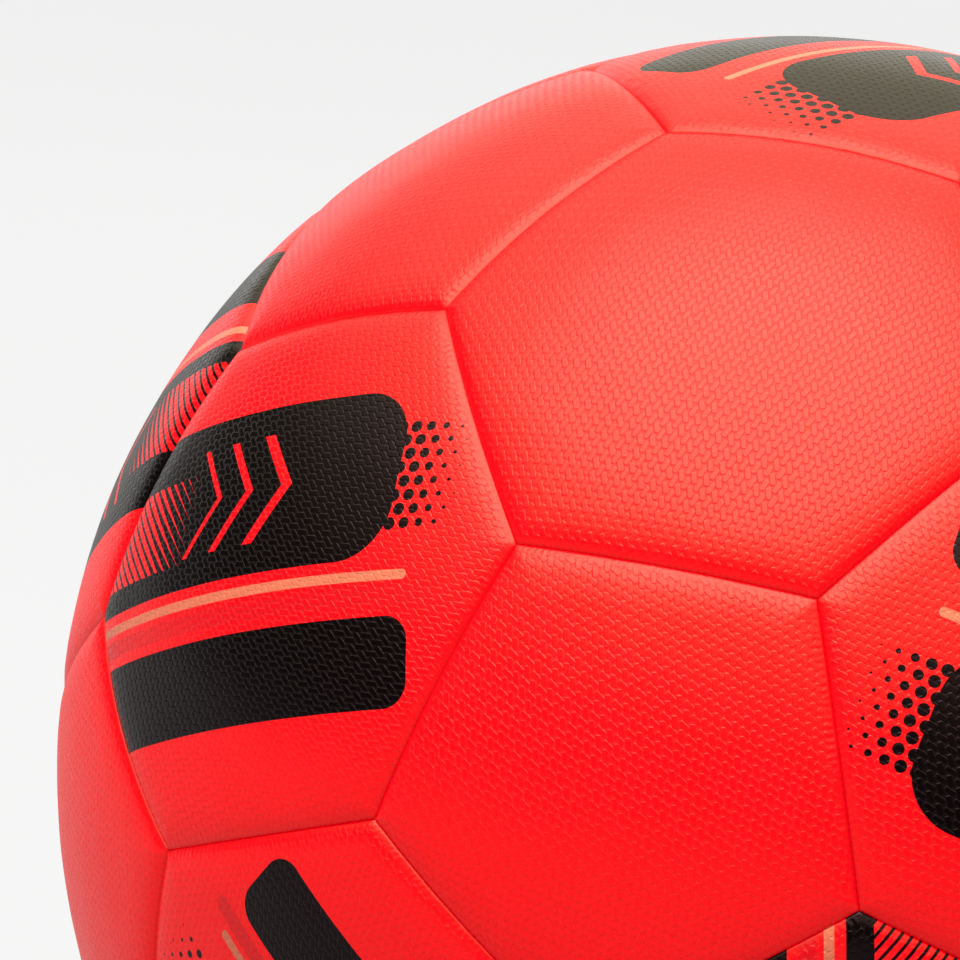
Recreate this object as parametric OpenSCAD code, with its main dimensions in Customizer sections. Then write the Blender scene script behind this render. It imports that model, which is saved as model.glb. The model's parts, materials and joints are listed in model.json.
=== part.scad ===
// Sewn soccer ball: 20 hexagon covers and 12 pentagon covers round an air bladder.
// Each cover is a shallow tray with its edges turned in. A foam pad and a cloth lining lie
// inside the tray, and a thread runs along every seam below the turned edges.
// Millimetres, +Z up, origin at the centre of the ball. One hexagon faces straight up,
// and the hexagon that holds the valve looks out over -X.

/* [Ball] */
// Outside diameter of the inflated ball
ball_d = 220; // [190:1:230]

/* [Layers] */
// Thickness of the cover skin
skin_t = 1; // [0.8:0.1:1.4]
// Thickness of the foam pad
foam_t = 3; // [2.4:0.1:4]
// Thickness of the cloth lining
lining_t = 0.8; // [0.7:0.1:1.2]
// Thickness of the bladder wall
bladder_t = 0.7; // [0.6:0.1:1.2]

/* [Seams] */
// Gap between two covers at a seam
seam_gap = 0.06; // [0.04:0.02:0.2]
// Width of the groove along a seam
groove_w = 3.2; // [2:0.2:4]
// Depth of the groove along a seam
groove_h = 1.2; // [0.8:0.1:1.6]

/* [Valve] */
// Radius of the valve stem where it shows in the cover
stem_r = 4.4; // [4:0.1:5]
// Length of the valve stem
stem_len = 21; // [19:1:26]
// Radius of the flange that seals the stem to the bladder
flange_r = 15; // [12:1:18]
// Thickness of that flange
flange_t = 1.2; // [0.8:0.1:1.6]
// Radius of the sealing plug
plug_r = 2.5; // [2.2:0.1:2.8]
// Length of the sealing plug
plug_len = 16; // [14:1:17]
// Radius of the needle channel in the plug
needle_r = 1.1; // [1:0.1:1.3]
// Depth of the needle channel
needle_depth = 10; // [8:1:12]

/* [Hidden] */
$fn = 96;

// Small clearances: between layers, round a running fit, and between parts that only pass
layer_gap = 0.05;
run_gap = 0.05;
free_gap = 0.3;

// Radii of the layers, from the outside in
skin_out = ball_d / 2;
skin_in = skin_out - skin_t;
foam_out = skin_in - layer_gap;
foam_in = foam_out - foam_t;
lining_out = foam_in - layer_gap;
lining_in = lining_out - lining_t;
bladder_out = lining_in - layer_gap;
bladder_in = bladder_out - bladder_t;

// A cover's side wall lies against the seam, and the pads stop at its inner face
wall_inset = seam_gap / 2 + skin_t;
pad_inset = wall_inset + layer_gap;

// Thread in the channel between the turned edges and the bladder
thread_at = (lining_out + bladder_out) / 2;
thread_r = (lining_out - bladder_out) / 2 - layer_gap;

// Angles of the truncated icosahedron, seen from the centre of the ball.
// An edge of length 1 lies on a sphere of radius unit_r.
golden = (1 + sqrt(5)) / 2;
unit_r = sqrt(1 + 9 * golden * golden) / 2;
seam_deg = 2 * asin(0.5 / unit_r);
function corner_deg(sides) = asin(0.5 / sin(180 / sides) / unit_r);
function edge_deg(sides) = atan(cos(180 / sides) * tan(corner_deg(sides)));

// Directions from the centre
function direction(polar, around) = [sin(polar) * cos(around), sin(polar) * sin(around), cos(polar)];
function polar(dir) = acos(dir.z / norm(dir));
function around(dir) = abs(dir.x) + abs(dir.y) < 0.0001 ? 0 : atan2(dir.y, dir.x);
function unit(dir) = dir / norm(dir);
function turned(dir, angle) = direction(polar(dir), around(dir) + angle);
function south(dir) = direction(polar(dir) + 90, around(dir));
function east(dir) = direction(90, around(dir) + 90);
function bearing(dir, mate) = atan2(mate * east(dir), mate * south(dir));

// Pentagon centres in four rings of three below the hexagon on top
upper_polar = edge_deg(6) + edge_deg(5);
middle_polar = upper_polar + 2 * edge_deg(6);
function ring(polar, start) = [for (k = [0:2]) direction(polar, start + 120 * k)];
raw_pents = concat(
    ring(upper_polar, 60), ring(middle_polar, 0), ring(180 - middle_polar, 60), ring(180 - upper_polar, 0)
);

// The hexagon between pentagons 1, 5 and 7 holds the valve, and is turned to look over -X
VALVE_PENTS = [1, 5, 7];
raw_valve = raw_pents[VALVE_PENTS[0]] + raw_pents[VALVE_PENTS[1]] + raw_pents[VALVE_PENTS[2]];
pents = [for (dir = raw_pents) turned(dir, 180 - around(raw_valve))];
function near(i, j) = pents[i] * pents[j] > 0;
hex_pents = [
    for (i = [0:9]) for (j = [i + 1:10]) for (k = [j + 1:11]) if (near(i, j) && near(j, k) && near(i, k)) [i, j, k]
];
hexes = [for (c = hex_pents) unit(pents[c[0]] + pents[c[1]] + pents[c[2]])];
valve_hex = [for (i = [0:19]) if (hex_pents[i] == VALVE_PENTS) i][0];

// Node names
function numbered(name, i) = str(name, i < 9 ? "_0" : "_", i + 1);
hex_names = [for (i = [0:19]) numbered("hex_panel", i)];
pent_names = [for (i = [0:11]) numbered("pent_panel", i)];

// Turns +Z to a direction and +X towards a second one
module place(dir, mate) {
    rotate([0, polar(dir), around(dir)]) rotate([0, 0, bearing(dir, mate)]) children();
}

// A hexagon's edges alternate, and the one on +X borders a pentagon
module place_hex(i) {
    place(hexes[i], pents[hex_pents[i][0]]) children();
}

// A pentagon has a corner towards each neighbouring pentagon, so its edge is half a side further on
module place_pent(i) {
    mate = [for (j = [0:11]) if (j != i && near(i, j)) j][0];
    place(pents[i], pents[mate]) rotate([0, 0, 36]) children();
}

// Ball with its poles on Y, clear of the panels on +Z
module ball(r) {
    rotate([90, 0, 0]) sphere(r = r);
}

// Round piece of a hollow ball on +Z, a little wider than a panel
module cap_shell(r_out, r_in, r_cap) {
    intersection() {
        difference() {
            ball(r_out);
            ball(r_in);
        }
        cylinder(r = r_cap, h = r_out + 1);
    }
}

function panel_reach(sides) = skin_out * sin(corner_deg(sides)) + 2;

// Everything past the planes that run from the ball's centre through a panel's edges
module beyond_edges(sides, inset) {
    for (k = [0:sides - 1])
        rotate([0, 0, 360 / sides * k]) rotate([0, edge_deg(sides), 0])
            translate([-inset, -skin_out / 2, skin_out / 2]) cube([skin_out / 2, skin_out, skin_out]);
}

// Vee grooves along all seams of a panel
module seam_grooves(sides) {
    above = 1;
    half_w = groove_w / 2 * (groove_h + above) / groove_h;
    for (k = [0:sides - 1])
        rotate([0, 0, 360 / sides * k]) rotate([0, edge_deg(sides) + 90, 0])
            rotate_extrude()
                polygon([[skin_out - groove_h, 0], [skin_out + above, half_w], [skin_out + above, -half_w]]);
}

module cover(sides) {
    difference() {
        cap_shell(skin_out, lining_out, panel_reach(sides));
        beyond_edges(sides, seam_gap / 2);
        seam_grooves(sides);
        difference() {
            cap_shell(skin_in, lining_out - 1, panel_reach(sides));
            beyond_edges(sides, wall_inset);
        }
    }
}

module pad(sides, r_out, r_in) {
    difference() {
        cap_shell(r_out, r_in, panel_reach(sides));
        beyond_edges(sides, pad_inset);
    }
}

// Hole for the valve, out along +Z
module valve_hole(r) {
    cylinder(r = r, h = skin_out + 1);
}

module hex_panel(i) {
    color("orangered") place_hex(i) difference() {
        cover(6);
        if (i == valve_hex) valve_hole(stem_r + layer_gap);
    }
}

module pent_panel(i) {
    color("orangered") place_pent(i) cover(5);
}

module hex_foam_pads() {
    color("ivory") for (i = [0:19]) if (i != valve_hex) place_hex(i) pad(6, foam_out, foam_in);
}

module valve_foam_pad() {
    color("ivory") place_hex(valve_hex) difference() {
        pad(6, foam_out, foam_in);
        valve_hole(stem_r + layer_gap);
    }
}

module pent_foam_pads() {
    color("ivory") for (i = [0:11]) place_pent(i) pad(5, foam_out, foam_in);
}

module hex_linings() {
    color("lightgray") for (i = [0:19]) if (i != valve_hex) place_hex(i) pad(6, lining_out, lining_in);
}

// The reinforcing ring of the valve fills the wide hole in this lining
patch_r = 3 * stem_r;
module valve_lining() {
    color("lightgray") place_hex(valve_hex) difference() {
        pad(6, lining_out, lining_in);
        valve_hole(patch_r + layer_gap);
    }
}

module pent_linings() {
    color("lightgray") for (i = [0:11]) place_pent(i) pad(5, lining_out, lining_in);
}

module valve_patch() {
    color("dimgray") place_hex(valve_hex) difference() {
        cap_shell(lining_out, lining_in, patch_r);
        valve_hole(stem_r + layer_gap);
    }
}

// Thread along one seam, in the XZ plane with its middle on +Z.
// It stops short of the corners, where three threads are knotted off side by side.
module seam_thread() {
    end_deg = 1.5 * thread_r / thread_at * 180 / PI;
    half_deg = seam_deg / 2 - end_deg;
    rotate([90, 0, 0]) rotate([0, 0, 90 - half_deg])
        rotate_extrude(angle = 2 * half_deg) translate([thread_at, 0]) circle(r = thread_r, $fn = 24);
}

// A seam between two hexagons points at the pentagons past its two ends
module hex_seam_threads() {
    color("firebrick") for (i = [0:10]) for (j = [i + 1:11]) if (near(i, j))
        place(unit(pents[i] + pents[j]), pents[j]) seam_thread();
}

// A seam between a pentagon and a hexagon crosses the line between their centres
module pent_seam_threads() {
    color("firebrick") for (i = [0:19]) for (c = hex_pents[i])
        place(pents[c], hexes[i]) rotate([0, edge_deg(5), 0]) rotate([0, 0, 90]) seam_thread();
}

module bladder() {
    color("black") place_hex(valve_hex) difference() {
        ball(bladder_out);
        ball(bladder_in);
        valve_hole(stem_r + layer_gap);
    }
}

// The stem's mouth lies just below the cover, and the plug just below the mouth
mouth_z = skin_out - 0.4;
plug_top_z = mouth_z - 0.2;
plug_head_r = 1.25 * plug_r;
plug_head_t = 1.2;
module valve_housing() {
    air_hole_r = 1.2;
    flange_out = bladder_in - layer_gap;
    color("dimgray") place_hex(valve_hex) difference() {
        union() {
            translate([0, 0, mouth_z - stem_len]) cylinder(r = stem_r, h = stem_len);
            cap_shell(flange_out, flange_out - flange_t, flange_r);
        }
        translate([0, 0, plug_top_z - plug_len - free_gap]) cylinder(r = plug_r + run_gap, h = stem_len);
        translate([0, 0, plug_top_z - plug_head_t - free_gap]) cylinder(r = plug_head_r + free_gap, h = stem_len);
        translate([0, 0, mouth_z - stem_len - 1]) cylinder(r = air_hole_r, h = stem_len);
    }
}

module valve_plug() {
    funnel_h = 0.9;
    color("black") place_hex(valve_hex) translate([0, 0, plug_top_z]) difference() {
        union() {
            translate([0, 0, -plug_len]) cylinder(r = plug_r, h = plug_len);
            translate([0, 0, -plug_head_t]) cylinder(r = plug_head_r, h = plug_head_t);
        }
        translate([0, 0, -needle_depth]) cylinder(r = needle_r, h = needle_depth + 1);
        translate([0, 0, -funnel_h]) cylinder(r1 = needle_r, r2 = 2 * needle_r, h = funnel_h);
    }
}

// Patch inside the bladder, opposite the valve, that balances the valve's weight
module balance_patch() {
    color("dimgray") place_hex(valve_hex) mirror([0, 0, 1])
        cap_shell(bladder_in - layer_gap, bladder_in - layer_gap - 2 * flange_t, flange_r);
}

for (i = [0:19]) hex_panel(i);
for (i = [0:11]) pent_panel(i);
hex_foam_pads();
valve_foam_pad();
pent_foam_pads();
hex_linings();
valve_lining();
pent_linings();
hex_seam_threads();
pent_seam_threads();
valve_patch();
bladder();
valve_housing();
valve_plug();
balance_patch();
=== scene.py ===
# %% [markdown]
# A sewn soccer ball. Thirty-two covers of synthetic leather, twenty hexagons and twelve
# pentagons, are stitched edge to edge over an air bladder. The construction comes in as a
# fixed frame: every cover, foam pad, thread and valve part is already there at its real size.
# This script gives the covers their padded, embossed and printed skin, and the rest its finish.
# %% Load the frame
import json
import math
from itertools import combinations

import bpy
import numpy as np
from mathutils import Matrix, Vector

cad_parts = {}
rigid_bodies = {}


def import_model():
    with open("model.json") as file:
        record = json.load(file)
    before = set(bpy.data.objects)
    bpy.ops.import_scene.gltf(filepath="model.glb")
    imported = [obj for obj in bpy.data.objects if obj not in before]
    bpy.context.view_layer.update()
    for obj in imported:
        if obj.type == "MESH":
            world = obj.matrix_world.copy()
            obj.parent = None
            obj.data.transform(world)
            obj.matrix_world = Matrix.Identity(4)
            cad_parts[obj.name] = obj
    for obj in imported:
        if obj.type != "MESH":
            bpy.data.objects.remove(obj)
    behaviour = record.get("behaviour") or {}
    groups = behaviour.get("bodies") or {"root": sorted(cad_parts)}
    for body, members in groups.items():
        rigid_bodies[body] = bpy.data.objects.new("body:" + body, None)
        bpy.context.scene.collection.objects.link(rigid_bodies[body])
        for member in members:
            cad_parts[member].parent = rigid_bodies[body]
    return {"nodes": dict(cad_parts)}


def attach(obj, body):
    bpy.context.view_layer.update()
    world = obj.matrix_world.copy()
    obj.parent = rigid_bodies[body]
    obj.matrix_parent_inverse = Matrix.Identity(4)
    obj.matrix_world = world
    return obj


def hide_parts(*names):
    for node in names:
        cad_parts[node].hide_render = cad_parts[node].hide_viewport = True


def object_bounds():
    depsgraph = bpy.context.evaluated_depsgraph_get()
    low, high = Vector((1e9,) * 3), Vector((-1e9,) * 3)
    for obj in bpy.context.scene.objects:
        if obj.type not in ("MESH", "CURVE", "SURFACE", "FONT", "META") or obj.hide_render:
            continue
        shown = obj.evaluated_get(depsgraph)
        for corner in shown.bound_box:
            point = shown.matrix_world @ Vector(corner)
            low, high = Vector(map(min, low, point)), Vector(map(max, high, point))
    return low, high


bpy.ops.object.select_all(action="SELECT")
bpy.ops.object.delete()
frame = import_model()
nodes = frame["nodes"]
cad_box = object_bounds()
MM = 0.001
BALL_R = max(cad_box[1])
print("nodes:", len(nodes), " ball radius in mm:", round(BALL_R / MM, 2))

# %% [markdown]
# The camera comes first, so that every later choice is judged from one place. It is a long
# lens well away from the ball, so the ball shows almost without perspective. The lens is
# shifted sideways and up, because the picture shows only the upper left part of the ball.
# %% Camera
CAMERA_TURN = math.radians(-9.364)
CAMERA_RISE = math.radians(13.76)
CAMERA_ROLL = math.radians(7.444)
CAMERA_DISTANCE = 14.09 * BALL_R
LENS_MM = 387.9
LENS_SHIFT = (-0.3254, 0.3037)
SENSOR_MM = 36


def direction(rise, turn):
    """Unit vector at an angle above the horizontal and an angle round +Z."""
    return Vector((math.cos(rise) * math.cos(turn), math.cos(rise) * math.sin(turn), math.sin(rise)))


back = direction(CAMERA_RISE, CAMERA_TURN)
aim = back.to_track_quat("Z", "Y")
bpy.ops.object.camera_add(location=back * CAMERA_DISTANCE)
camera = bpy.context.object
camera.name = "camera"
camera.rotation_euler = (aim.to_matrix() @ Matrix.Rotation(CAMERA_ROLL, 3, "Z")).to_euler()
camera.data.lens = LENS_MM
camera.data.sensor_width = SENSOR_MM
camera.data.shift_x, camera.data.shift_y = LENS_SHIFT
bpy.context.scene.camera = camera
print("camera at", [round(c, 3) for c in camera.location])

# %% [markdown]
# Where the thirty-two covers sit follows from one solid, the truncated icosahedron. Its
# twelve pentagons look at the corners of an icosahedron, and a hexagon lies between each
# three neighbouring pentagons. The angles below are seen from the centre of the ball.
# %% Angles of the panel pattern
GOLDEN = (1 + math.sqrt(5)) / 2
UNIT_R = math.sqrt(1 + 9 * GOLDEN * GOLDEN) / 2
HEXAGON = 6
PENTAGON = 5
THIRD = math.tau / 3
VALVE_TRIO = (1, 5, 7)


def corner_angle(sides):
    """Angle from a panel's middle to its corner."""
    return math.asin(0.5 / math.sin(math.pi / sides) / UNIT_R)


def edge_angle(sides):
    """Angle from a panel's middle to the middle of its edge."""
    return math.atan(math.cos(math.pi / sides) * math.tan(corner_angle(sides)))


def ring_of_three(polar, start):
    """Three directions, evenly round +Z."""
    return [direction(math.pi / 2 - polar, start + k * THIRD) for k in range(3)]


upper = edge_angle(HEXAGON) + edge_angle(PENTAGON)
middle = upper + 2 * edge_angle(HEXAGON)
raw = ring_of_three(upper, THIRD / 2) + ring_of_three(middle, 0)
raw += ring_of_three(math.pi - middle, THIRD / 2) + ring_of_three(math.pi - upper, 0)

# The hexagon between the three pentagons of VALVE_TRIO holds the valve and looks out over -X.
valve_sum = sum((raw[i] for i in VALVE_TRIO), Vector())
to_back = Matrix.Rotation(math.pi - math.atan2(valve_sum.y, valve_sum.x), 3, "Z")
pentagons = [to_back @ p for p in raw]


def near(i, j):
    """Whether two different pentagons are neighbours."""
    return i != j and pentagons[i].dot(pentagons[j]) > 0


trios = []
for trio in combinations(range(len(pentagons)), 3):
    if all(near(i, j) for i, j in combinations(trio, 2)):
        trios.append(trio)
hexagons = [(pentagons[i] + pentagons[j] + pentagons[k]).normalized() for i, j, k in trios]
valve_axis = hexagons[trios.index(VALVE_TRIO)]
print("pentagons:", len(pentagons), " hexagons:", len(hexagons), " valve looks along", valve_axis)


# %% [markdown]
# Every cover is modelled once, face up on top of the ball, and then turned to its place.
# A hexagon is turned so that its first edge lies against a pentagon. A pentagon has a corner
# towards its neighbour pentagon, so its first edge is half a side further round.
# %% Turning a panel to its place
def placing(middle_of_panel, mate, extra_turn):
    """Rotation that takes +Z to the panel's middle and +X towards its mate."""
    along = (mate - middle_of_panel * mate.dot(middle_of_panel)).normalized()
    across = middle_of_panel.cross(along)
    turn = Matrix((along, across, middle_of_panel)).transposed()
    return (turn @ Matrix.Rotation(extra_turn, 3, "Z")).to_4x4()


places = {}
for index, (axis, trio) in enumerate(zip(hexagons, trios)):
    places[f"hex_panel_{index + 1:02d}"] = placing(axis, pentagons[trio[0]], 0)
for index, axis in enumerate(pentagons):
    mate = next(other for j, other in enumerate(pentagons) if near(index, j))
    places[f"pent_panel_{index + 1:02d}"] = placing(axis, mate, math.pi / PENTAGON)
print("places:", len(places))

# %% [markdown]
# A cover is a piece of sheet drawn over foam and turned in along its edges, so it is full in
# the middle and rolls down ever more steeply towards the seam. That roll is drawn with a few
# rings round a flat polygon: each ring has its distance from the seam and its depth below the
# ball's surface, in millimetres. The depth is kept as the weight of a vertex group.
# %% Profile of a cover's edge
SEAM_GAP = 0.001
# Each ring: its distance from the seam, and its depth below the ball's surface.
SEAM_RINGS = [
    (0, 1.24),
    (0.05, 1.12),
    (0.17, 0.98),
    (0.45, 0.82),
    (1.1, 0.56),
    (2.1, 0.31),
    (3.7, 0.12),
    (6.5, 0.02),
]
SINK_DEPTH = SEAM_RINGS[0][1]


def clear_selection():
    """Leaves nothing selected."""
    bpy.ops.object.select_all(action="DESELECT")


def flat_panel(sides):
    """A flat polygon with a ring of edges for each step of the profile."""
    radius = BALL_R * math.sin(corner_angle(sides))
    height = BALL_R * math.cos(corner_angle(sides))
    apothem = radius * math.cos(math.pi / sides)
    inner_radius = radius * (1 - SEAM_GAP * MM / apothem)
    clear_selection()
    bpy.ops.mesh.primitive_circle_add(vertices=sides, radius=inner_radius, fill_type="NGON")
    panel = bpy.context.object
    # The circle's first corner lies on +Y: turn it so that the middle of an edge lies on +X.
    turn = Matrix.Rotation(math.pi / sides - math.pi / 2, 4, "Z")
    panel.data.transform(Matrix.Translation((0, 0, height)) @ turn)
    panel.vertex_groups.new(name="sink")
    settings = bpy.context.tool_settings
    bpy.ops.object.mode_set(mode="EDIT")
    bpy.ops.mesh.select_all(action="SELECT")
    bpy.ops.mesh.subdivide(number_cuts=1)
    last = 0
    for distance, depth in SEAM_RINGS:
        if distance:
            bpy.ops.mesh.inset(thickness=(distance - last) * MM, use_even_offset=True)
        settings.vertex_group_weight = depth / SINK_DEPTH
        bpy.ops.object.vertex_group_assign()
        last = distance
    bpy.ops.mesh.poke()
    bpy.ops.object.mode_set(mode="OBJECT")
    return panel


masters = {HEXAGON: flat_panel(HEXAGON), PENTAGON: flat_panel(PENTAGON)}
print("faces:", {sides: len(panel.data.polygons) for sides, panel in masters.items()})

# %% [markdown]
# The flat panel now gets an even grid. The spokes to its corners are dissolved, which leaves
# one kite for each corner, and every long edge is cut into the same number of pieces, so a
# kite turns into a square net and each ring into a strip. The corners are then drawn in a
# little with proportional editing, as leather rounds off where three pieces meet.
# %% Fine grid and rounded corners
HALF_EDGE_CUTS = 31
CORNER_PULL = 0.015 * MM
CORNER_REACH = 3.2 * MM
CORNER_SLACK = 0.05 * MM
TURN_SLACK = 0.001
TINY = 1e-9


def start_edit(panel, mode):
    """Makes a panel active with nothing in it selected, ready to select in code."""
    clear_selection()
    bpy.context.view_layer.objects.active = panel
    panel.select_set(True)
    bpy.ops.object.mode_set(mode="EDIT")
    bpy.ops.mesh.select_mode(type=mode)
    bpy.ops.mesh.select_all(action="DESELECT")
    bpy.ops.object.mode_set(mode="OBJECT")


def off_axis(vertex):
    """Distance of a vertex from the panel's axis."""
    return math.hypot(vertex.co.x, vertex.co.y)


def towards_corner(vertex, sides):
    """Whether a vertex lies on a line from the panel's middle to a corner."""
    turn = math.atan2(vertex.co.y, vertex.co.x) / (math.pi / sides)
    return round(turn) % 2 == 1 and abs(turn - round(turn)) < TURN_SLACK


def dissolve_corner_spokes(panel, sides):
    """Leaves one four-sided kite for each corner inside the innermost ring."""
    start_edit(panel, "EDGE")
    vertices = panel.data.vertices
    hub = min(vertices, key=off_axis).index
    for edge in panel.data.edges:
        outer = max((vertices[i] for i in edge.vertices), key=off_axis)
        edge.select = hub in edge.vertices and towards_corner(outer, sides)
    bpy.ops.object.mode_set(mode="EDIT")
    bpy.ops.mesh.dissolve_edges(use_verts=False)
    bpy.ops.object.mode_set(mode="OBJECT")


def cut_long_edges(panel):
    """Cuts every edge but the short ones that run straight out across the rings."""
    start_edit(panel, "EDGE")
    vertices = panel.data.vertices
    hub = min(vertices, key=off_axis).index
    for edge in panel.data.edges:
        a, b = (vertices[i].co for i in edge.vertices)
        straight_out = abs(a.x * b.y - a.y * b.x) < TINY
        edge.select = hub in edge.vertices or not straight_out
    bpy.ops.object.mode_set(mode="EDIT")
    bpy.ops.mesh.subdivide(number_cuts=HALF_EDGE_CUTS)
    bpy.ops.object.mode_set(mode="OBJECT")


def draw_in_corners(panel, sides):
    """Draws the corners towards the panel's middle, fading out over the reach."""
    start_edit(panel, "VERT")
    furthest = max(off_axis(v) for v in panel.data.vertices)
    for vertex in panel.data.vertices:
        vertex.select = off_axis(vertex) > furthest - CORNER_SLACK and towards_corner(vertex, sides)
    height = panel.data.vertices[0].co.z
    factor = 1 - CORNER_PULL / furthest
    bpy.ops.object.mode_set(mode="EDIT")
    bpy.ops.transform.resize(
        value=(factor, factor, 1),
        center_override=(0, 0, height),
        use_proportional_edit=True,
        proportional_edit_falloff="SMOOTH",
        proportional_size=CORNER_REACH,
    )
    bpy.ops.object.mode_set(mode="OBJECT")


for sides, panel in masters.items():
    dissolve_corner_spokes(panel, sides)
    cut_long_edges(panel)
    draw_in_corners(panel, sides)
    print(sides, "sides:", len(panel.data.polygons), "faces")

# %% [markdown]
# A pattern that is printed or embossed on sheet keeps its size when the sheet is drawn over a
# ball. So each panel gets a flat map in millimetres of real surface, measured outwards from its
# middle. A second map runs along the nearest seam and away from it: creases and puckers read
# that one. Both are worked out from the round shape, so the panel is first cast onto the ball.
# %% Onto the ball, with maps in millimetres
# Added to the run along a seam for each side of the panel, so that no two sides share numbers.
SIDE_STEP = 100


def apply_modifier(panel, modifier):
    """Applies one modifier of a panel."""
    clear_selection()
    bpy.context.view_layer.objects.active = panel
    panel.select_set(True)
    bpy.ops.object.modifier_apply(modifier=modifier.name)


def write_map(panel, name, values):
    """Writes one pair of numbers for each face corner to a UV map."""
    layer = panel.data.uv_layers.get(name) or panel.data.uv_layers.new(name=name)
    layer.data.foreach_set("uv", np.ascontiguousarray(values, dtype=np.float32).ravel())


def read_map(panel, name):
    """Reads a UV map as an array with one row for each face corner."""
    layer = panel.data.uv_layers[name]
    values = np.zeros(len(layer.data) * 2, np.float32)
    layer.data.foreach_get("uv", values)
    return values.reshape(-1, 2)


def corner_directions(panel):
    """Unit vector from the ball's centre to each face corner."""
    points = np.array([v.co[:] for v in panel.data.vertices])
    corners = np.zeros(len(panel.data.loops), np.int32)
    panel.data.loops.foreach_get("vertex_index", corners)
    return (points / np.linalg.norm(points, axis=1, keepdims=True))[corners]


def surface_map(rays):
    """Millimetres over the surface from the panel's middle, along X and along Y."""
    polar = np.arccos(np.clip(rays[:, 2], -1, 1))
    stretch = BALL_R / MM * polar / np.maximum(np.hypot(rays[:, 0], rays[:, 1]), TINY)
    return rays[:, :2] * stretch[:, None]


def seam_map(rays, sides):
    """Millimetres along the nearest side, and millimetres away from it."""
    slope = edge_angle(sides)
    turns = np.arange(sides) * math.tau / sides
    inward = np.stack([-np.cos(turns) * math.cos(slope), -np.sin(turns) * math.cos(slope)], axis=1)
    along = np.stack([-np.sin(turns), np.cos(turns)], axis=1)
    away = np.arcsin(rays[:, :2] @ inward.T + rays[:, 2:] * math.sin(slope)) * BALL_R / MM
    # All four corners of a face take the same side, the one nearest to the face.
    side = np.repeat(away.reshape(-1, 4, sides).mean(axis=1).argmin(axis=1), 4)
    rows = np.arange(len(rays))
    run = np.arcsin(np.clip(rays[:, :2] @ along.T, -1, 1))[rows, side] * BALL_R / MM
    return np.stack([run + SIDE_STEP * side, away[rows, side]], axis=1)


for sides, panel in masters.items():
    cast = panel.modifiers.new("ball", "CAST")
    cast.cast_type = "SPHERE"
    cast.factor = 1
    cast.use_radius_as_size = False
    cast.size = BALL_R
    apply_modifier(panel, cast)
    rays = corner_directions(panel)
    for layer in list(panel.data.uv_layers):
        panel.data.uv_layers.remove(layer)
    write_map(panel, "panel", surface_map(rays))
    write_map(panel, "seam", seam_map(rays, sides))
    sink = panel.modifiers.new("sink", "DISPLACE")
    sink.vertex_group = "sink"
    sink.mid_level = 0
    sink.strength = -SINK_DEPTH * MM
    apply_modifier(panel, sink)
    print(sides, "sides: map reaches", round(float(np.abs(read_map(panel, "panel")).max()), 1), "mm")

# %% [markdown]
# The thirty-two covers are copies of the two masters. Each is turned to its place and then
# made a little uneven, since foam and thread never pull quite alike: long soft waves all over,
# and short ones near the seams, where each stitch draws the leather in. Last, Solidify gives
# the skin its thickness, inwards, with a rim where the leather is turned in.
# %% Thirty-two covers
SKIN = 0.5 * MM
# Each wave: the size of its swells, and its height.
LONG_WAVE = (16 * MM, 0.22 * MM)
STITCH_WAVE = (2.4 * MM, 0.16 * MM)
WAVE_MIDDLE = 0.6
# Millimetres from the seam: full waves begin at the first, and stitch waves end at the second.
HELD_REACH = 0.7
STITCH_REACH = 3.5


def soft_waves(name, size):
    """Cloud texture that gives waves of about one size."""
    texture = bpy.data.textures.new(name, "CLOUDS")
    texture.noise_scale = size
    texture.noise_depth = 1
    return texture


long_waves = soft_waves("padding", LONG_WAVE[0])
stitch_waves = soft_waves("stitches", STITCH_WAVE[0])


def add_waves(panel, texture, height, group):
    """Raises and sinks the skin by a texture that runs through the whole ball."""
    waves = panel.modifiers.new(texture.name, "DISPLACE")
    waves.texture = texture
    waves.texture_coords = "LOCAL"
    waves.mid_level = WAVE_MIDDLE
    waves.strength = height
    waves.vertex_group = group
    apply_modifier(panel, waves)


def add_wave_groups(panel):
    """Weights of both waves. They vanish on the seam itself, so that neighbours meet there."""
    corners = np.zeros(len(panel.data.loops), np.int32)
    panel.data.loops.foreach_get("vertex_index", corners)
    away = np.zeros(len(panel.data.vertices))
    away[corners] = read_map(panel, "seam")[:, 1]
    padded = np.clip(away / HELD_REACH, 0, 1)
    stitched = padded * np.clip(1 - away / STITCH_REACH, 0, 1)
    for name, weights in (("padded", padded), ("stitched", stitched)):
        group = panel.vertex_groups.new(name=name)
        for index in np.nonzero(weights)[0]:
            group.add([int(index)], float(weights[index]), "REPLACE")


def cover(name, sides):
    """One cover in its place, still without thickness."""
    panel = masters[sides].copy()
    panel.data = masters[sides].data.copy()
    panel.name = panel.data.name = "cover_" + name
    bpy.context.collection.objects.link(panel)
    panel.data.transform(places[name])
    add_waves(panel, long_waves, LONG_WAVE[1], "padded")
    add_waves(panel, stitch_waves, STITCH_WAVE[1], "stitched")
    return panel


for panel in masters.values():
    add_wave_groups(panel)
covers = {}
for name in places:
    covers[name] = cover(name, HEXAGON if name.startswith("hex") else PENTAGON)
for panel in masters.values():
    bpy.data.objects.remove(panel)
print("covers:", len(covers))

# %% [markdown]
# One hexagon has the valve in its middle. The leather is pressed down a little round the
# rubber mouth, which proportional editing does from a few chosen points. Then every skin is
# made solid, and a plain cylinder cuts the round hole as a punch does.
# %% Valve hole and skin thickness
VALVE_PANEL = "hex_panel_08"
VALVE_DIP = 0.35 * MM
VALVE_DIP_REACH = 11 * MM
VALVE_HOLE_R = 4.45 * MM
PUNCH_SIDES = 72
PUNCH_LENGTH = 10 * MM
SMOOTH_UNDER = math.radians(50)


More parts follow.
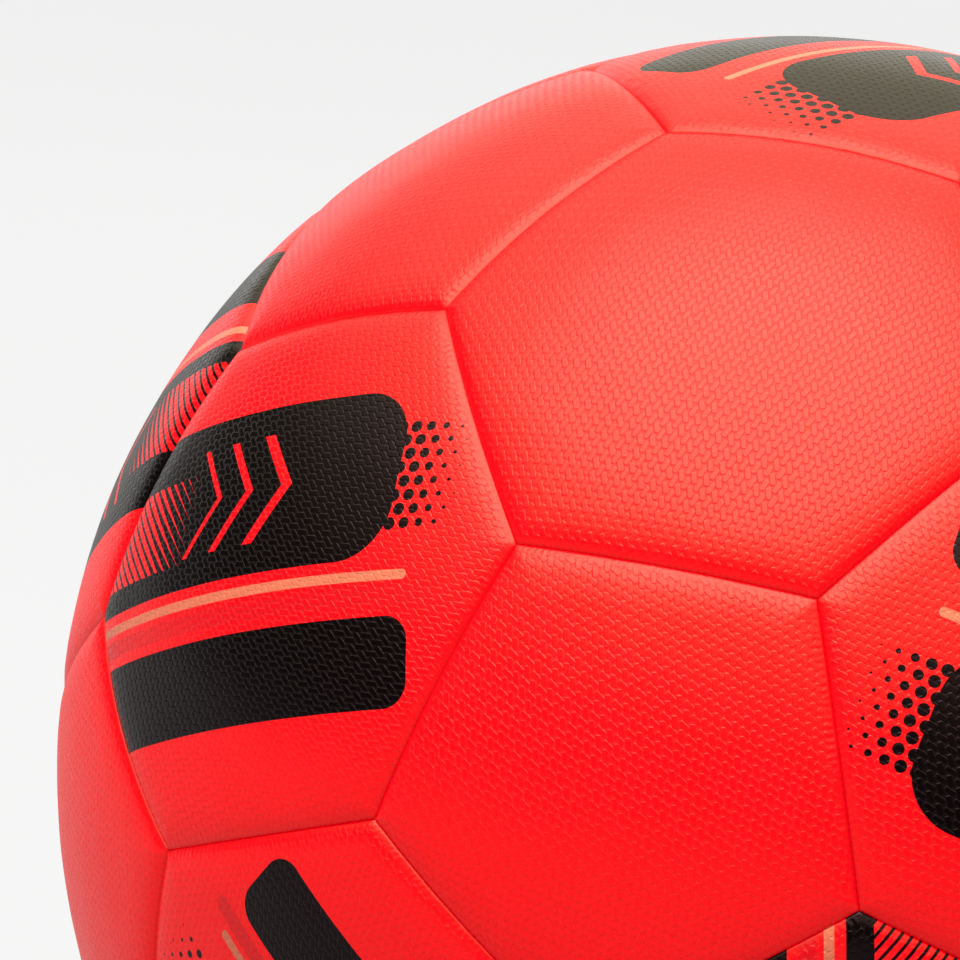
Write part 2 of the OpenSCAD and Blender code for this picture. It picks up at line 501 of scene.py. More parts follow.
def press_down_valve(panel):
    """Sinks the skin softly round the valve."""
    start_edit(panel, "VERT")
    for vertex in panel.data.vertices:
        vertex.select = (vertex.co - valve_axis * BALL_R).length < VALVE_HOLE_R
    bpy.ops.object.mode_set(mode="EDIT")
    bpy.ops.transform.translate(
        value=-valve_axis * VALVE_DIP,
        use_proportional_edit=True,
        proportional_edit_falloff="SMOOTH",
        proportional_size=VALVE_DIP_REACH,
    )
    bpy.ops.object.mode_set(mode="OBJECT")


def make_solid(panel):
    """Gives the skin its thickness, inwards, and closes its rim."""
    skin = panel.modifiers.new("skin", "SOLIDIFY")
    skin.thickness = SKIN
    skin.offset = -1
    skin.use_rim = True
    apply_modifier(panel, skin)


def punch_valve_hole(panel):
    """Cuts the round hole that the valve's mouth fills."""
    clear_selection()
    bpy.ops.mesh.primitive_cylinder_add(
        vertices=PUNCH_SIDES,
        radius=VALVE_HOLE_R,
        depth=PUNCH_LENGTH,
        location=valve_axis * BALL_R,
        rotation=valve_axis.to_track_quat("Z", "Y").to_euler(),
    )
    punch = bpy.context.object
    hole = panel.modifiers.new("hole", "BOOLEAN")
    hole.operation = "DIFFERENCE"
    hole.solver = "EXACT"
    hole.object = punch
    apply_modifier(panel, hole)
    bpy.data.objects.remove(punch)


press_down_valve(covers[VALVE_PANEL])
for panel in covers.values():
    make_solid(panel)
punch_valve_hole(covers[VALVE_PANEL])
for name, panel in covers.items():
    clear_selection()
    bpy.context.view_layer.objects.active = panel
    panel.select_set(True)
    bpy.ops.object.shade_smooth_by_angle(angle=SMOOTH_UNDER)
    panel.vertex_groups.clear()
    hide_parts(name)
    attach(panel, "ball")
print("valve cover:", len(covers[VALVE_PANEL].data.polygons), "faces")

# %% [markdown]
# The roll of sheet is embossed and printed before the panels are die-cut from it. A die may
# lie any way round, so each printed hexagon takes the print turned by some sixths of a turn,
# and the emboss turns with it. Two more maps hold that: one for the emboss, counted in cells
# of its own small pattern, and one for the print, in millimetres.
# %% Maps of the emboss and the print
CELL = (1.83, 2.25)
EMBOSS_TURN = math.radians(-30)
PRINT_TURN = math.radians(-90)
SIXTH = math.tau / 6
# Printed hexagons, each with its print's turn in sixths.
PRINTED = {1: 0, 4: 3, 7: 2, 9: 0, 10: 4, 11: 4, 12: 3, 14: 1, 15: 5, 16: 0, 18: 2, 20: 3}
# Degrees. Pentagons named here have a chosen turn of the emboss, the others one at random.
PENTAGON_START = -60
PENTAGON_SPAN = 72
PENTAGON_TURNS = {3: 9, 4: 6, 9: -24}
SEED = 7
draw = np.random.default_rng(SEED)


def turned(values, angle):
    """Coordinates seen from axes that are turned by an angle."""
    c, s = math.cos(angle), math.sin(angle)
    return values @ np.array([[c, -s], [s, c]])


for name, panel in covers.items():
    kind, number = name.split("_")[0], int(name.split("_")[-1])
    surface = read_map(panel, "panel")
    sixths = PRINTED.get(number, 0) if kind == "hex" else 0
    emboss_turn = EMBOSS_TURN + sixths * SIXTH
    if kind == "pent":
        free_turn = draw.uniform(0, PENTAGON_SPAN)
        emboss_turn = math.radians(PENTAGON_START + PENTAGON_TURNS.get(number, free_turn))
    shift = draw.uniform(0, 1, 2)
    write_map(panel, "emboss", turned(surface, emboss_turn) / np.array(CELL) + shift)
    write_map(panel, "print", turned(surface, PRINT_TURN + sixths * SIXTH))
print("printed hexagons:", len(PRINTED))

# %% [markdown]
# Every material here is built from nodes. A few small helpers keep that readable: one adds a
# node, one does arithmetic on sockets, one fades between two values, and one reads a map.
# %% Helpers for node materials
MOTTLE = (0.3, 0.7)
# A Mix node has its colour sockets after those for plain numbers and for arrows.
COLOUR_INPUTS = (6, 7)
COLOUR_OUTPUT = 2


def put(tree, kind, **settings):
    """Adds a shader node with its settings."""
    node = tree.nodes.new("ShaderNode" + kind)
    for key, value in settings.items():
        setattr(node, key, value)
    return node


def feed(tree, socket, value):
    """Links a socket to a source, or writes a plain value into it."""
    if isinstance(value, bpy.types.NodeSocket):
        tree.links.new(value, socket)
    else:
        socket.default_value = value


def maths(tree, operation, *values):
    """Arithmetic on one, two or three sockets or numbers."""
    node = put(tree, "Math", operation=operation)
    for socket, value in zip(node.inputs, values):
        feed(tree, socket, value)
    return node.outputs[0]


def fade(tree, value, start, end, low=0.0, high=1.0):
    """Goes smoothly from low to high while the value goes from start to end."""
    node = put(tree, "MapRange", interpolation_type="SMOOTHSTEP")
    for socket, source in zip(node.inputs, (value, start, end, low, high)):
        feed(tree, socket, source)
    return node.outputs[0]


def map_axes(tree, name):
    """The two coordinates of a UV map."""
    node = put(tree, "UVMap", uv_map=name)
    split = put(tree, "SeparateXYZ")
    tree.links.new(node.outputs[0], split.inputs[0])
    return split.outputs[0], split.outputs[1]


def length(tree, x, y):
    """Length of the arrow (x, y)."""
    join = put(tree, "CombineXYZ")
    feed(tree, join.inputs[0], x)
    feed(tree, join.inputs[1], y)
    measure = put(tree, "VectorMath", operation="LENGTH")
    tree.links.new(join.outputs[0], measure.inputs[0])
    return measure.outputs["Value"]


def mix_colour(tree, share, first, second):
    """Blends two colours."""
    node = put(tree, "Mix", data_type="RGBA")
    feed(tree, node.inputs["Factor"], share)
    for number, colour in zip(COLOUR_INPUTS, (first, second)):
        feed(tree, node.inputs[number], colour)
    return node.outputs[COLOUR_OUTPUT]


def noise(tree, size, detail=2.0):
    """Noise on Object coordinates, with spots of about one size in metres."""
    node = put(tree, "TexNoise")
    tree.links.new(put(tree, "TexCoord").outputs["Object"], node.inputs["Vector"])
    node.inputs["Scale"].default_value = 1 / size
    node.inputs["Detail"].default_value = detail
    return node.outputs["Fac"]


def mottled(tree, size, detail=2.0, low=0.0, high=1.0):
    """Soft patches of about one size, between two values."""
    return fade(tree, noise(tree, size, detail), *MOTTLE, low, high)


def bump(tree, height, depth, before=None):
    """Turns a height from 0 to 1 into relief of a real depth in metres."""
    node = put(tree, "Bump")
    node.inputs["Strength"].default_value = 1
    node.inputs["Distance"].default_value = depth
    feed(tree, node.inputs["Height"], height)
    if before is not None:
        tree.links.new(before, node.inputs["Normal"])
    return node.outputs[0]


def new_material(name):
    """A node material, its tree and its shader."""
    material = bpy.data.materials.new(name)
    material.use_nodes = True
    return material, material.node_tree, material.node_tree.nodes["Principled BSDF"]


print("helpers ready")

# %% [markdown]
# The emboss is a fine herringbone of small raised bricks, rolled into the warm leather. Its
# cell holds one brick that leans one way on its corners and one that leans the other way in
# its middle. High powers of the distance give each brick square ends, straight sides and a
# flat top. The emboss is pressed flat near the seams, where the sheet is pulled tight.
# %% Emboss, puckers and grain of the cover
# Lengths without MM are millimetres of the maps. BRICK is half a brick's length and half its width.
BRICK = (0.94, 0.43)
BRICK_POWERS = (8, 4)
BRICK_LEAN = math.radians(20)
BRICK_SLOPE = (0.15, 1.7)
EMBOSS_DEPTH = 0.052 * MM
PRESSED = (0.25, 1.5)
PUCKER_PITCH = 1.05
PUCKER_DEPTH = 0.022 * MM
PUCKER_START = (0.2, 0.6)
PUCKER_END = (0.9, 2.4)
PUCKER_PATCH = 5 * MM
PUCKER_SHARE = (0.35, 0.65)
WANDER = (3 * MM, 5)
GRAIN = 0.22 * MM
GRAIN_DEPTH = 0.012 * MM
GRAIN_DETAIL = 3


def centred_fraction(tree, value):
    """What is left of a value past its whole number, from -0.5 to 0.5."""
    return maths(tree, "SUBTRACT", maths(tree, "FRACT", value), 0.5)


def brick(tree, across, up, lean):
    """Height of one leaning brick, from its place in millimetres."""
    c, s = math.cos(lean), math.sin(lean)
    long_way = maths(tree, "ADD", maths(tree, "MULTIPLY", across, -s), maths(tree, "MULTIPLY", up, c))
    short_way = maths(tree, "ADD", maths(tree, "MULTIPLY", across, c), maths(tree, "MULTIPLY", up, s))
    ends, sides = [
        maths(tree, "POWER", maths(tree, "ABSOLUTE", maths(tree, "DIVIDE", way, half)), power)
        for way, half, power in zip((long_way, short_way), BRICK, BRICK_POWERS)
    ]
    return fade(tree, maths(tree, "ADD", ends, sides), *BRICK_SLOPE, 1, 0)


def emboss_height(tree):
    """Height of the herringbone emboss, from 0 to 1."""
    axes = list(zip(map_axes(tree, "emboss"), CELL))
    corner = [maths(tree, "MULTIPLY", maths(tree, "WRAP", axis, 0.5, -0.5), size) for axis, size in axes]
    centre = [maths(tree, "MULTIPLY", centred_fraction(tree, axis), size) for axis, size in axes]
    return maths(tree, "MAXIMUM", brick(tree, *corner, BRICK_LEAN), brick(tree, *centre, -BRICK_LEAN))


def pressed_emboss(tree, in_emboss):
    """The emboss, pressed flat along the seams."""
    return maths(tree, "MULTIPLY", emboss_height(tree), in_emboss)


def cover_relief(tree, emboss):
    """Normal of the cover: emboss, puckers across the seams and fine grain."""
    run, away = map_axes(tree, "seam")
    wander = maths(tree, "MULTIPLY", noise(tree, WANDER[0]), WANDER[1])
    phase = maths(tree, "ADD", maths(tree, "MULTIPLY", run, math.tau / PUCKER_PITCH), wander)
    reach = maths(tree, "MULTIPLY", fade(tree, away, *PUCKER_START), fade(tree, away, *PUCKER_END, 1, 0))
    pucker = maths(tree, "MULTIPLY", maths(tree, "SINE", phase), reach)
    pucker = maths(tree, "MULTIPLY", pucker, fade(tree, noise(tree, PUCKER_PATCH), *PUCKER_SHARE))
    relief = bump(tree, noise(tree, GRAIN, GRAIN_DETAIL), GRAIN_DEPTH)
    relief = bump(tree, pucker, PUCKER_DEPTH, relief)
    return bump(tree, emboss, EMBOSS_DEPTH, relief)


print("bricks in millimetres:", BRICK, "in a cell of", CELL)

# %% [markdown]
# The print is plain geometry, so it is drawn with distances instead of an image. A bar that
# runs in over one seam and ends with rounded corners is a distance to a rounded box. Chevrons
# and fine hatching are left out of the black, and past its end the black breaks up into dots
# that grow smaller. Two thin lines in salmon and deep red run between the bars.
# %% The print
# Lengths are millimetres on the print's map.
INK_EDGE = 0.05
BLOCK = {"low": -2, "high": 24.5, "end": 25, "round": 9}
BAND = {"low": -24, "high": -10.5, "end": 30, "round": 4}
SALMON_LINE = {"low": -5.2, "high": -3.7, "end": 29, "round": 0.7}
RED_LINE = {"low": -8.9, "high": -6.2, "end": 33, "round": 1.3}
# Each chevron: where its tip lies along X, and the width of its line.
CHEVRONS = [(4, 2.2), (-4, 1.7), (-11, 1.2)]
CHEVRON_SLOPE = 0.75
CHEVRON_ARM = 8.5
DOT_PITCH = 2.5
ROW_PITCH = DOT_PITCH * math.sqrt(3) / 2
DOT_R = 0.98
# Below nothing, so that the dots have vanished before the end of their reach.
SMALLEST_DOT = -0.1
DOT_REACH = 15
DOTS_FROM = 10
DOT_ROWS = (1, 9)
HATCHES_PER_MM = 0.5
# From the first X to the second, half a line's width goes from a third of the pitch to nothing.
HATCH_WIDTH = (-32, -17, 0.33, 0.0)
HATCH_SPAN = (2, 16)
HATCH_EDGE = 0.1


def ink(tree, distance):
    """Full ink inside a shape, from the distance to its outline."""
    return fade(tree, distance, -INK_EDGE, INK_EDGE, 1, 0)


def to_bar(tree, x, y, shape):
    """Distance to the outline of a bar that comes in over the seam and ends rounded."""
    middle = (shape["low"] + shape["high"]) / 2
    half = (shape["high"] - shape["low"]) / 2
    past = maths(tree, "MAXIMUM", maths(tree, "SUBTRACT", x, shape["end"] - shape["round"]), 0)
    aside = maths(tree, "ABSOLUTE", maths(tree, "SUBTRACT", y, middle))
    aside = maths(tree, "MAXIMUM", maths(tree, "SUBTRACT", aside, half - shape["round"]), 0)
    return maths(tree, "SUBTRACT", length(tree, past, aside), shape["round"])


def bar(tree, x, y, shape):
    """Ink of one bar."""
    return ink(tree, to_bar(tree, x, y, shape))


def chevron(tree, x, y, place, width):
    """A thin arrow head that points along the bar."""
    middle = (BLOCK["low"] + BLOCK["high"]) / 2
    aside = maths(tree, "ABSOLUTE", maths(tree, "SUBTRACT", y, middle))
    tip = maths(tree, "ADD", x, maths(tree, "MULTIPLY", aside, CHEVRON_SLOPE))
    line = maths(tree, "SUBTRACT", maths(tree, "ABSOLUTE", maths(tree, "SUBTRACT", tip, place)), width / 2)
    return ink(tree, maths(tree, "MAXIMUM", line, maths(tree, "SUBTRACT", aside, CHEVRON_ARM)))


def dots(tree, x, y):
    """Staggered dots beyond the block's end, the smaller the further they lie from it."""
    row = maths(tree, "DIVIDE", y, ROW_PITCH)
    odd_row = maths(tree, "MODULO", maths(tree, "ABSOLUTE", maths(tree, "FLOOR", row)), 2)
    column = maths(tree, "ADD", maths(tree, "DIVIDE", x, DOT_PITCH), maths(tree, "MULTIPLY", odd_row, 0.5))
    aside = maths(tree, "MULTIPLY", centred_fraction(tree, column), DOT_PITCH)
    above = maths(tree, "MULTIPLY", centred_fraction(tree, row), ROW_PITCH)
    radius = fade(tree, to_bar(tree, x, y, BLOCK), 0, DOT_REACH, DOT_R, SMALLEST_DOT)
    spot = ink(tree, maths(tree, "SUBTRACT", length(tree, aside, above), radius))
    first_row, last_row = DOT_ROWS
    above_first = maths(tree, "GREATER_THAN", y, first_row * ROW_PITCH)
    below_last = maths(tree, "LESS_THAN", y, last_row * ROW_PITCH)
    rows = maths(tree, "MULTIPLY", above_first, below_last)
    inside = maths(tree, "MULTIPLY", rows, maths(tree, "GREATER_THAN", x, DOTS_FROM))
    return maths(tree, "MULTIPLY", spot, inside)


def hatching(tree, x, y):
    """Fine slanted lines that thin out towards the chevrons."""
    slant = maths(tree, "MULTIPLY", maths(tree, "ADD", x, y), HATCHES_PER_MM)
    ripple = maths(tree, "ABSOLUTE", centred_fraction(tree, slant))
    line = maths(tree, "LESS_THAN", ripple, fade(tree, x, *HATCH_WIDTH))
    low, high = HATCH_SPAN
    inside = maths(
        tree, "MULTIPLY", fade(tree, y, low, low + HATCH_EDGE), fade(tree, y, high, high + HATCH_EDGE, 1, 0)
    )
    return maths(tree, "MULTIPLY", line, inside)


def printed_inks(tree):
    """How much black, salmon and deep red ink there is at each point."""
    x, y = map_axes(tree, "print")
    left_out = hatching(tree, x, y)
    for place, width in CHEVRONS:
        left_out = maths(tree, "MAXIMUM", left_out, chevron(tree, x, y, place, width))
    block = maths(tree, "MULTIPLY", bar(tree, x, y, BLOCK), maths(tree, "SUBTRACT", 1, left_out))
    black = maths(tree, "MAXIMUM", maths(tree, "MAXIMUM", block, bar(tree, x, y, BAND)), dots(tree, x, y))
    return black, bar(tree, x, y, SALMON_LINE), bar(tree, x, y, RED_LINE)


print("print:", len(CHEVRONS), "chevrons, block", BLOCK["high"] - BLOCK["low"], "mm wide")

# %% [markdown]
# The leather is coloured with a fluorescent pigment, which gives back more red than falls on
# it. A little red emission stands in for it here: a painted glow, as bright in shade as in
# light, that keeps the red even all over. The surface is a half-matt polyurethane with a
# weak gloss; the black ink lies on it as a smoother film, so it shows the emboss more clearly.
# The grooves of the emboss and the crease of each seam get painted shade. Light that reaches
# a seam is thrown back many times between red walls, so the painted shade in a crease is a
# deeper red and not black. The leather's gloss is warm, the ink's more nearly neutral.
# %% Cover materials
FLUORESCENT = (0.8, 0.0015, 0.009, 1)
FLUORESCENT_DEEP = (0.77, 0.001, 0.008, 1)
# Painted glow: a red emission, the same in light and in shade, that stands in for the fluorescence.
GLOW = (1.0, 0.0, 0.006, 1)
GLOW_STRENGTH = 0.3
COLOUR_PATCH = (9 * MM, 4)
GLOSS = 0.37
ROUGH_PATCH = 0.6 * MM
# Noise from the first to the second gives roughness from the third to the fourth.
ROUGH = (0.2, 0.8, 0.23, 0.29)
INK_SMOOTHER = 0.03
# The grooves of the emboss: where they lie, how much painted shade darkens them, and their extra roughness.
GROOVE_EDGE = (0.02, 0.35)
GROOVE_SHADE = 0.05
GROOVE_ROUGH = 0.15
# Painted shade in the crease of a seam: its strength, its deep red, its dimmed glow and its reach, which
# the stitches pull in and out.
CREASE_SHADE = 0.35
CREASE_SHADE_RED = (0.3, 0.0, 0.006, 1)
CREASE_SHADE_GLOW = (0.35, 0.0, 0.002, 1)
CREASE_REACH = 0.75
STITCH_PULL = 0.16
GLOSS_TINT = (1.0, 0.93, 0.62, 1)
INK_GLOSS_TINT = (0.66, 0.38, 0.46, 1)
BLACK_INK = (0.0022, 0.0012, 0.0014, 1)
SALMON_INK = (0.78, 0.19, 0.115, 1)
RED_INK = (0.66, 0.003, 0.012, 1)
RED_INK_COVERS = 0.45
NO_GLOW = (0, 0, 0, 1)


def painted_shade_in_hollows(tree, groove):
    """How much painted shade darkens the red, in the grooves of the emboss and in the crease of a seam."""
    run, away = map_axes(tree, "seam")
    pull = maths(tree, "SINE", maths(tree, "MULTIPLY", run, math.tau / PUCKER_PITCH))
    pulled = maths(tree, "ADD", away, maths(tree, "MULTIPLY", pull, STITCH_PULL))
    crease = fade(tree, pulled, 0, CREASE_REACH, CREASE_SHADE, 0)
    return maths(tree, "MAXIMUM", crease, maths(tree, "MULTIPLY", groove, GROOVE_SHADE))


def add_print(tree, shader, colour, glow, rough):
    """Lays the inks over the leather's colour, its glow, its roughness and its gloss."""
    black, salmon, red = printed_inks(tree)
    for share, ink_colour in ((red, RED_INK), (salmon, SALMON_INK), (black, BLACK_INK)):
        colour = mix_colour(tree, share, colour, ink_colour)
    covered = maths(tree, "MAXIMUM", salmon, maths(tree, "MULTIPLY", red, RED_INK_COVERS))
    glow = mix_colour(tree, maths(tree, "MAXIMUM", black, covered), glow, NO_GLOW)
    rough = maths(tree, "SUBTRACT", rough, maths(tree, "MULTIPLY", black, INK_SMOOTHER))
    feed(tree, shader.inputs["Specular Tint"], mix_colour(tree, black, GLOSS_TINT, INK_GLOSS_TINT))
    return colour, glow, rough


def cover_material(name, printed):
    """The embossed leather, with or without its print."""
    material, tree, shader = new_material(name)
    in_emboss = fade(tree, map_axes(tree, "seam")[1], *PRESSED)
    emboss = pressed_emboss(tree, in_emboss)
    groove = maths(tree, "MULTIPLY", fade(tree, emboss, *GROOVE_EDGE, 1, 0), in_emboss)
    shade = painted_shade_in_hollows(tree, groove)
    colour = mix_colour(tree, mottled(tree, *COLOUR_PATCH), FLUORESCENT_DEEP, FLUORESCENT)
    # Painted shade: the red and its glow are darkened in the grooves and in the creases.
    colour = mix_colour(tree, shade, colour, CREASE_SHADE_RED)
    glow = mix_colour(tree, shade, GLOW, CREASE_SHADE_GLOW)
    rough = fade(tree, noise(tree, ROUGH_PATCH), *ROUGH)
    rough = maths(tree, "ADD", rough, maths(tree, "MULTIPLY", groove, GROOVE_ROUGH))
    shader.inputs["Specular Tint"].default_value = GLOSS_TINT
    if printed:
        colour, glow, rough = add_print(tree, shader, colour, glow, rough)
    feed(tree, shader.inputs["Base Color"], colour)
    feed(tree, shader.inputs["Roughness"], rough)
    feed(tree, shader.inputs["Emission Color"], glow)
    shader.inputs["Emission Strength"].default_value = GLOW_STRENGTH
    shader.inputs["Specular IOR Level"].default_value = GLOSS
    feed(tree, shader.inputs["Normal"], cover_relief(tree, emboss))
    return material


plain_cover = cover_material("cover_plain", False)
printed_cover = cover_material("cover_printed", True)
for name, panel in covers.items():
    printed = name.startswith("hex") and int(name.split("_")[-1]) in PRINTED
    panel.data.materials.clear()
    panel.data.materials.append(printed_cover if printed else plain_cover)
print("cover materials:", plain_cover.name, printed_cover.name)

# %% [markdown]
# Under the covers lie pieces that only show if the ball is taken apart, and the valve, which
# shows as a small round mouth. Foam has fine cells, the lining is a plain weave, the thread is
# twisted, the bladder is black butyl rubber with a faint bloom, and the valve is moulded rubber.
# %% Inner materials
FOAM = {
    "cell": 0.7 * MM,
    "pores": (0.1, 0.7),
    "dark": (0.66, 0.64, 0.58, 1),
    "light": (0.82, 0.81, 0.77, 1),
    "patch": 2 * MM,
    "rough": (0.78, 0.92),
    "relief": 0.06 * MM,
}
WEAVE = {
    "pitch": 0.9 * MM,
    "rise": 0.4,
    "shades": (-0.6, 0.6),
    "dark": (0.50, 0.48, 0.43, 1),
    "light": (0.74, 0.72, 0.66, 1),
    "patch": 1.5 * MM,
    "rough": (0.8, 0.95),
    "relief": 0.1 * MM,
}
THREAD = {
    "pitch": 0.6 * MM,
    "dark": (0.50, 0.02, 0.02, 1),
    "light": (0.78, 0.05, 0.045, 1),
    "patch": 1 * MM,
    "rough": (0.5, 0.65),
    "relief": 0.05 * MM,
}
BLOOM = (8 * MM, 5)
BLOOM_SHARE = (0.35, 0.7)
RUBBER_PATCH = (2.5 * MM, 4)
RUBBER_SPREAD = (-0.06, 0.08)
RUBBER_DETAIL = 3


def finish_shader(tree, shader, colour, rough, normal):
    """Links what varies over the surface."""
    feed(tree, shader.inputs["Base Color"], colour)
    feed(tree, shader.inputs["Roughness"], rough)
    feed(tree, shader.inputs["Normal"], normal)


def object_axes(tree):
    """The three Object coordinates."""
    split = put(tree, "SeparateXYZ")
    tree.links.new(put(tree, "TexCoord").outputs["Object"], split.inputs[0])
    return split.outputs


def waves_along(tree, axis, pitch):
    """Even waves along an axis, one for each pitch."""
    return maths(tree, "SINE", maths(tree, "MULTIPLY", axis, math.tau / pitch))


# Painted shade: foam, weave and thread are coloured darker where their relief is low.
def shaded_by_relief(tree, shader, share, height, look):
    """Finishes a shader with two colours, a mottled roughness and relief, as its look says. The share picks
    the colour; its callers give it from the relief, so the dark colour is painted shade in the low parts.
    """
    colour = mix_colour(tree, share, look["dark"], look["light"])
    rough = mottled(tree, look["patch"], low=look["rough"][0], high=look["rough"][1])
    finish_shader(tree, shader, colour, rough, bump(tree, height, look["relief"]))


def foam_material():
    """Closed-cell foam, off-white with fine pores, with painted shade in the pits."""
    material, tree, shader = new_material("foam")
    cells = put(tree, "TexVoronoi")
    cells.inputs["Scale"].default_value = 1 / FOAM["cell"]
    tree.links.new(put(tree, "TexCoord").outputs["Object"], cells.inputs["Vector"])
    pores = cells.outputs["Distance"]
    shaded_by_relief(tree, shader, fade(tree, pores, *FOAM["pores"]), pores, FOAM)
    return material


def weave_material():
    """Plain weave of cotton and polyester, on Object coordinates, with painted shade where the threads dip.
    """
    material, tree, shader = new_material("lining_weave")
    x, y, z = [waves_along(tree, axis, WEAVE["pitch"]) for axis in object_axes(tree)]
    crossing = maths(tree, "ADD", x, maths(tree, "MULTIPLY", y, z))
    height = maths(tree, "MULTIPLY", crossing, WEAVE["rise"])
    shaded_by_relief(tree, shader, fade(tree, height, *WEAVE["shades"]), height, WEAVE)
    return material


def thread_material():
    """Waxed polyester thread with its twist, with painted shade in the grooves of the twist."""
    material, tree, shader = new_material("thread")
    x, y, z = object_axes(tree)
    twist = waves_along(tree, maths(tree, "ADD", maths(tree, "ADD", x, y), z), THREAD["pitch"])
    shaded_by_relief(tree, shader, fade(tree, twist, -1, 1), twist, THREAD)
    return material


def rubber_material(name, dark, light, rough, grain, depth):
    """Rubber with a fine grain and a faint bloom. Colours are red, green and blue."""
    material, tree, shader = new_material(name)
    bloom = fade(tree, noise(tree, *BLOOM), *BLOOM_SHARE)
    colour = mix_colour(tree, bloom, dark + (1,), light + (1,))
    roughness = mottled(tree, *RUBBER_PATCH, rough + RUBBER_SPREAD[0], rough + RUBBER_SPREAD[1])
    finish_shader(tree, shader, colour, roughness, bump(tree, noise(tree, grain, RUBBER_DETAIL), depth))
    return material


foam = foam_material()
weave = weave_material()
thread = thread_material()
butyl = rubber_material(
    "bladder_butyl", (0.022, 0.022, 0.023), (0.048, 0.047, 0.045), 0.5, 1.2 * MM, 0.03 * MM
)
black_rubber = rubber_material(
    "valve_rubber", (0.012, 0.012, 0.013), (0.028, 0.028, 0.030), 0.55, 0.3 * MM, 0.02 * MM
)
plug_rubber = rubber_material(
    "plug_rubber", (0.016, 0.015, 0.015), (0.036, 0.034, 0.034), 0.45, 0.25 * MM, 0.015 * MM
)
patch_rubber = rubber_material(
    "patch_rubber", (0.10, 0.085, 0.07), (0.16, 0.14, 0.11), 0.6, 0.5 * MM, 0.03 * MM
)
INNER_FINISH = {
    "hex_foam_pads": foam,
    "valve_foam_pad": foam,
    "pent_foam_pads": foam,
    "hex_linings": weave,
    "valve_lining": weave,
    "pent_linings": weave,
    "hex_seam_threads": thread,
    "pent_seam_threads": thread,
    "valve_patch": patch_rubber,
    "bladder": butyl,
    "valve_housing": black_rubber,
    "valve_plug": plug_rubber,
    "balance_patch": patch_rubber,
}
for name, material in INNER_FINISH.items():
    node_mesh = nodes[name].data
    for index in range(len(node_mesh.materials)):
        node_mesh.materials[index] = material
    if not node_mesh.materials:
        node_mesh.materials.append(material)
print("inner nodes finished:", len(INNER_FINISH))

# %% [markdown]
# The ball stands on a plain floor that looks pale. The light it throws back is only that of a
# grey sheet, so the underside of the ball keeps its deep colour. What the viewer sees of the
# floor is mostly an even white that falls off a little with the distance, and the ball's soft
# shadow stays on it.
# %% Floor
FLOOR_R = 6
FLOOR_SIDES = 96
FLOOR_GAP = 0.2 * MM
FLOOR_GREYS = (0.21, 0.23)
FLOOR_PATCH = 0.4
FLOOR_ROUGH = 0.9
FLOOR_GLOSS = 0.1
FLOOR_COOL = (0.93, 0.97, 1.12)
FLOOR_SHOWN_WHITE = 0.8
# From the first distance to the second, in metres, the white falls from the third to the fourth.
FLOOR_FALL_OFF = (0.3, 1.5, 1.04, 0.96)

clear_selection()
floor_place = (0, 0, -BALL_R - FLOOR_GAP)
bpy.ops.mesh.primitive_circle_add(
    vertices=FLOOR_SIDES,
    radius=FLOOR_R,
    fill_type="NGON",
    location=floor_place,
)
floor = bpy.context.object
floor.name = "floor"
floor_material, tree, shader = new_material("floor")
shader.inputs["Roughness"].default_value = FLOOR_ROUGH
shader.inputs["Specular IOR Level"].default_value = FLOOR_GLOSS
greys = [tuple(grey * part for part in FLOOR_COOL) + (1,) for grey in FLOOR_GREYS]
feed(tree, shader.inputs["Base Color"], mix_colour(tree, mottled(tree, FLOOR_PATCH), *greys))
white = put(tree, "Emission")
on_floor = put(tree, "VectorMath", operation="LENGTH")
tree.links.new(put(tree, "TexCoord").outputs["Object"], on_floor.inputs[0])
feed(tree, white.inputs["Strength"], fade(tree, on_floor.outputs["Value"], *FLOOR_FALL_OFF))
shown = put(tree, "MixShader")
seen = put(tree, "LightPath").outputs["Is Camera Ray"]
feed(tree, shown.inputs[0], maths(tree, "MULTIPLY", seen, FLOOR_SHOWN_WHITE))
tree.links.new(shader.outputs[0], shown.inputs[1])
tree.links.new(white.outputs[0], shown.inputs[2])
tree.links.new(shown.outputs[0], tree.nodes["Material Output"].inputs[0])
floor.data.materials.append(floor_material)
print("floor at", round(floor.location.z, 4), "m")

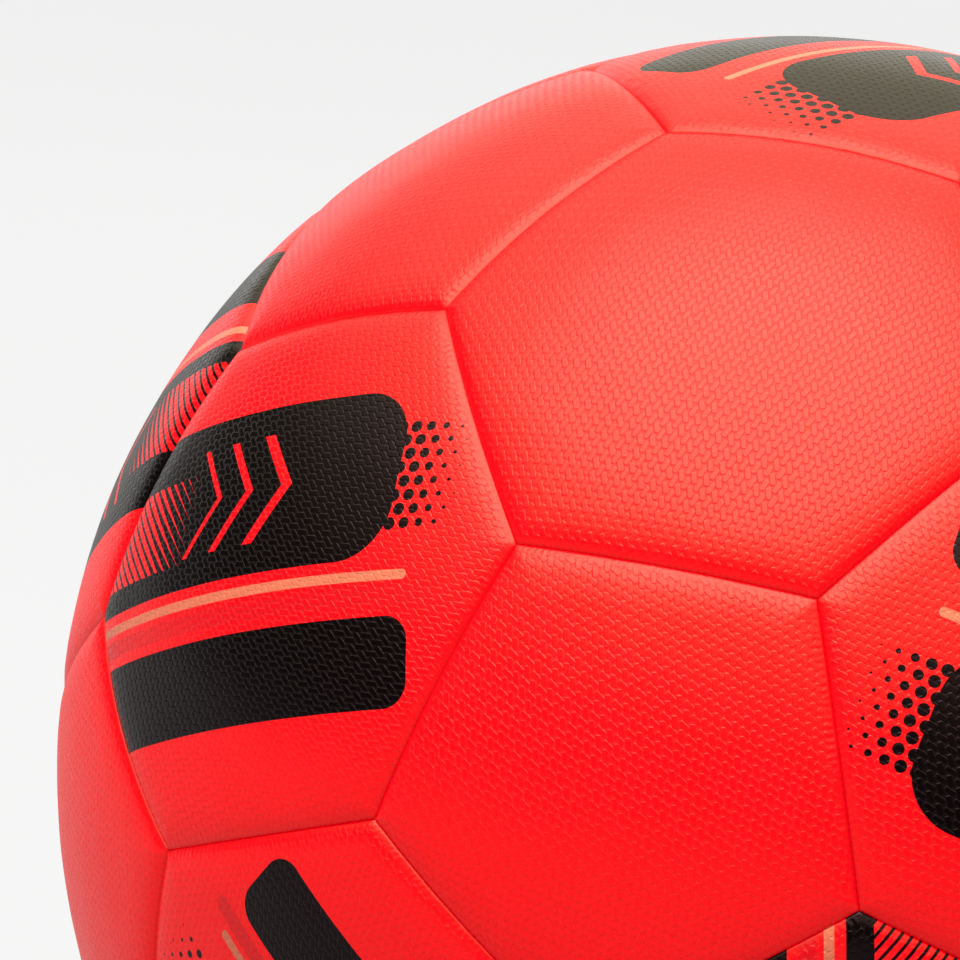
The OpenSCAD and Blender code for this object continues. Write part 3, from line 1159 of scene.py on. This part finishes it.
# %% [markdown]
# One very wide soft light hangs almost straight above, as a light tent gives it: a smooth glow
# in the surroundings, without an edge that the gloss could show. The side of the viewer stays
# dark, so the colour is deep there, and the far side is bright, so the rim turns pale.
# %% Light
UP = (0, 0, 1)
WHITE = (1, 1, 1, 1)
BACKDROP = 0.87
FRONT = 0.04
BACK_LIGHT = 1.05
# The spans below are cosines, between which one part of the surroundings fades into the next.
FAR_SIDE = (-0.95, -0.55)
CEILING = 1.45
CEILING_RISE = (0.2, 0.78)
CEILING_COLOUR = (1, 0.95, 0.65, 1)
WARM_RISE = (0, 0.35)
SOFT_LIGHT = 6.3
SOFT_LIGHT_COLOUR = (1, 0.98, 0.95, 1)
SOFT_LIGHT_WIDTH = math.radians(42)
SOFT_LIGHT_RISE = math.radians(75)
SOFT_LIGHT_TURN = math.radians(-47)


def facing(tree, aim):
    """Cosine of the angle between a direction of the surroundings and an aim."""
    node = put(tree, "VectorMath", operation="DOT_PRODUCT")
    tree.links.new(put(tree, "TexCoord").outputs["Generated"], node.inputs[0])
    node.inputs[1].default_value = aim
    return node.outputs["Value"]


world = bpy.data.worlds.new("studio")
bpy.context.scene.world = world
world.use_nodes = True
tree = world.node_tree
seen = put(tree, "LightPath").outputs["Is Camera Ray"]
rise = facing(tree, UP)
surroundings = fade(tree, facing(tree, back), *FAR_SIDE, BACK_LIGHT, FRONT)
surroundings = fade(tree, fade(tree, rise, *CEILING_RISE), 0, 1, surroundings, CEILING)
overhead = facing(tree, direction(SOFT_LIGHT_RISE, SOFT_LIGHT_TURN))
soft = fade(tree, overhead, math.cos(SOFT_LIGHT_WIDTH), 1)
strength = fade(tree, seen, 0, 1, fade(tree, soft, 0, 1, surroundings, SOFT_LIGHT), BACKDROP)
warm = mix_colour(tree, fade(tree, rise, *WARM_RISE), WHITE, CEILING_COLOUR)
tint = mix_colour(tree, seen, mix_colour(tree, soft, warm, SOFT_LIGHT_COLOUR), WHITE)
background = tree.nodes["Background"]
feed(tree, background.inputs["Color"], tint)
feed(tree, background.inputs["Strength"], strength)

bpy.context.scene.view_settings.view_transform = "Standard"
print("soft light", round(math.degrees(2 * SOFT_LIGHT_WIDTH)), "degrees across")
